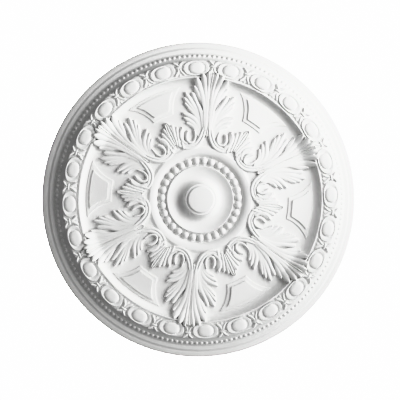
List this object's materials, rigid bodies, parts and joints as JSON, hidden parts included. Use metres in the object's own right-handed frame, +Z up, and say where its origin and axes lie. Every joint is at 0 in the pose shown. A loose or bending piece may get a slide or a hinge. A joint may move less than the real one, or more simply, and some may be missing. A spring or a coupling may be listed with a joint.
{
  "type": "ceiling rose",
  "caption": "Round moulded ceiling rose: acanthus leaves between stepped panels round a beaded dish, inside an egg-and-dart border with a pearl cord.",
  "frame": {"origin": "centre of the flat back, in the plane of the ceiling", "axes": "+Z up into the ceiling along the rose's axis, with the ornament hanging towards -Z; +Y through the axis of one leaf"},
  "size_m": [0.6974, 0.6974, 0.043],
  "materials": {
    "moulding": "smooth matt white primer on rigid polyurethane foam"
  },
  "bodies": {
    "root": {"rose": "moulding"}
  },
  "joints": []
}
